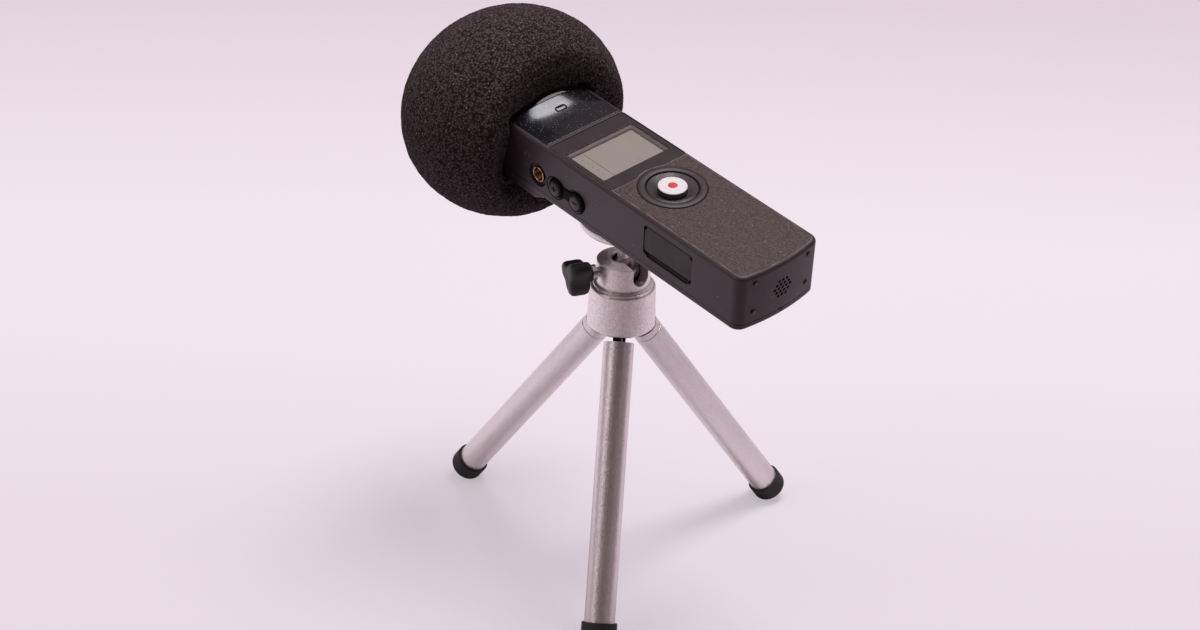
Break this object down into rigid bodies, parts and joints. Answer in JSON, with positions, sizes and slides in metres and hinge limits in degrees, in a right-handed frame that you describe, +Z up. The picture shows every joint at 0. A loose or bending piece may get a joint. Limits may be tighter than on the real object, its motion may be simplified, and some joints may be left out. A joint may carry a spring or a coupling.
{
  "type": "handheld digital recorder",
  "caption": "Pocket stereo sound recorder with a display, record button and side keys, under a ball-shaped foam windscreen and on a small tripod with a ball head.",
  "frame": {"origin": "on the floor under the middle of the whole object's box", "axes": "+Z up, +Y the way the microphone end points seen from above, +X to the recorder's right"},
  "size_m": [0.1278, 0.1766, 0.1975],
  "materials": {
    "case_plastic": "matte",
    "gloss_black": "gloss",
    "clear_window": "gloss",
    "display": "satin",
    "button_white": "satin",
    "dot_red": "gloss",
    "lamp": "gloss",
    "gold_plate": "polished",
    "black_plastic": "satin",
    "bright_steel": "satin",
    "board_green": "satin",
    "cell_wrap": "gloss",
    "foam": "matte",
    "rubber": "matte",
    "silver_paint": "satin"
  },
  "bodies": {
    "stand": {"tripod_head": "silver_paint", "ball_seat": "black_plastic", "leg_base": "black_plastic", "leg_pins": "bright_steel"},
    "knob": {"lock_knob": "black_plastic", "lock_screw": "bright_steel"},
    "front_leg": {"front_leg": "silver_paint", "front_hinge": "black_plastic", "front_foot": "rubber"},
    "right_leg": {"right_leg": "silver_paint", "right_hinge": "black_plastic", "right_foot": "rubber"},
    "left_leg": {"left_leg": "silver_paint", "left_hinge": "black_plastic", "left_foot": "rubber"},
    "ball": {"ball_stud": "silver_paint", "camera_pad": "rubber"},
    "recorder": {"front_case": "case_plastic", "rear_case": "case_plastic", "window_panel": "gloss_black", "lcd_lens": "clear_window", "lcd_module": "display", "main_board": "board_green", "rec_bezel": "gloss_black", "peak_lamp": "lamp", "phones_jack": "black_plastic", "phones_ring": "gold_plate", "line_jack": "black_plastic", "line_ring": "gold_plate", "usb_socket": "bright_steel", "card_socket": "bright_steel", "memory_card": "black_plastic", "battery": "cell_wrap", "battery_contacts": "bright_steel", "speaker": "bright_steel", "end_feet": "gloss_black", "thread_bush": "bright_steel", "mic_cage": "case_plastic", "mic_mount": "black_plastic", "left_capsule": "bright_steel", "right_capsule": "bright_steel", "case_screws": "bright_steel"},
    "rec_button": {"rec_button": "button_white", "rec_dot": "dot_red"},
    "volume_rocker": {"volume_rocker": "case_plastic"},
    "level_rocker": {"level_rocker": "case_plastic"},
    "card_door": {"card_door": "case_plastic"},
    "battery_door": {"battery_door": "case_plastic"},
    "power_switch": {"power_switch": "case_plastic"},
    "rewind_key": {"rewind_key": "case_plastic"},
    "play_key": {"play_key": "case_plastic"},
    "forward_key": {"forward_key": "case_plastic"},
    "delete_key": {"delete_key": "case_plastic"},
    "low_cut_switch": {"low_cut_switch": "black_plastic"},
    "auto_level_switch": {"auto_level_switch": "black_plastic"},
    "format_switch": {"format_switch": "black_plastic"},
    "windscreen": {"windscreen": "foam"}
  },
  "joints": [
    {"name": "knob_turn", "type": "hinge", "parent": "stand", "child": "knob", "pos_m": [-0.00789, -0.00776, 0.116], "axis": [-0.9397, 0.342, 0], "range_deg": [0, 360]},
    {"name": "front_leg_fold", "type": "hinge", "parent": "stand", "child": "front_leg", "pos_m": [-0.0126, -0.01223, 0.0943], "axis": [0.6884, -0.7254, 0], "range_deg": [0, 33.5]},
    {"name": "right_leg_fold", "type": "hinge", "parent": "stand", "child": "right_leg", "pos_m": [-0.00166, -0.0096, 0.0943], "axis": [0.284, 0.9588, 0], "range_deg": [0, 33.5]},
    {"name": "left_leg_fold", "type": "hinge", "parent": "stand", "child": "left_leg", "pos_m": [-0.00941, -0.00144, 0.0943], "axis": [-0.9724, -0.2334, 0], "range_deg": [0, 33.5]},
    {"name": "head_tilt", "type": "hinge", "parent": "stand", "child": "ball", "pos_m": [-0.00789, -0.00776, 0.116], "axis": [0.9932, -0.0136, 0.1159], "range_deg": [-22, 83]},
    {"name": "head_pan", "type": "hinge", "parent": "ball", "child": "recorder", "pos_m": [-0.00789, -0.00776, 0.116], "axis": [-0.1167, -0.1159, 0.9864], "range_deg": [0, 360]},
    {"name": "rec_press", "type": "slide", "parent": "recorder", "child": "rec_button", "axis": [0.1167, 0.1159, -0.9864], "range_m": [0, 0.0005], "stiffness_N_per_m": 1500},
    {"name": "volume_rock", "type": "hinge", "parent": "recorder", "child": "volume_rocker", "pos_m": [-0.02736, -0.00112, 0.14946], "axis": [-0.1167, -0.1159, 0.9864], "range_deg": [-3, 3], "stiffness_Nm_per_rad": 0.05},
    {"name": "level_rock", "type": "hinge", "parent": "recorder", "child": "level_rocker", "pos_m": [0.00353, -0.00154, 0.15306], "axis": [-0.1167, -0.1159, 0.9864], "range_deg": [-3, 3], "stiffness_Nm_per_rad": 0.05},
    {"name": "card_door_open", "type": "hinge", "parent": "recorder", "child": "card_door", "pos_m": [-0.03009, -0.05228, 0.15219], "axis": [0, 0.9932, 0.1167], "range_deg": [0, 90]},
    {"name": "battery_door_open", "type": "hinge", "parent": "recorder", "child": "battery_door", "pos_m": [-0.01104, -0.07981, 0.13454], "axis": [0.9932, -0.0136, 0.1159], "range_deg": [-90, 0]},
    {"name": "power_slide", "type": "slide", "parent": "recorder", "child": "power_switch", "axis": [0, 0.9932, 0.1167], "range_m": [0, 0.003]},
    {"name": "rewind_press", "type": "slide", "parent": "recorder", "child": "rewind_key", "axis": [-0.9932, 0.0136, -0.1159], "range_m": [0, 0.0004], "stiffness_N_per_m": 1500},
    {"name": "play_press", "type": "slide", "parent": "recorder", "child": "play_key", "axis": [-0.9932, 0.0136, -0.1159], "range_m": [0, 0.0004], "stiffness_N_per_m": 1500},
    {"name": "forward_press", "type": "slide", "parent": "recorder", "child": "forward_key", "axis": [-0.9932, 0.0136, -0.1159], "range_m": [0, 0.0004], "stiffness_N_per_m": 1500},
    {"name": "delete_press", "type": "slide", "parent": "recorder", "child": "delete_key", "axis": [-0.9932, 0.0136, -0.1159], "range_m": [0, 0.0004], "stiffness_N_per_m": 1500},
    {"name": "low_cut_slide", "type": "slide", "parent": "recorder", "child": "low_cut_switch", "axis": [0.9932, -0.0136, 0.1159], "range_m": [0, 0.002]},
    {"name": "auto_level_slide", "type": "slide", "parent": "recorder", "child": "auto_level_switch", "axis": [0.9932, -0.0136, 0.1159], "range_m": [0, 0.002]},
    {"name": "format_slide", "type": "slide", "parent": "recorder", "child": "format_switch", "axis": [0.9932, -0.0136, 0.1159], "range_m": [0, 0.002]},
    {"name": "windscreen_pull", "type": "slide", "parent": "recorder", "child": "windscreen", "axis": [0, 0.9932, 0.1167], "range_m": [0, 0.06]}
  ]
}
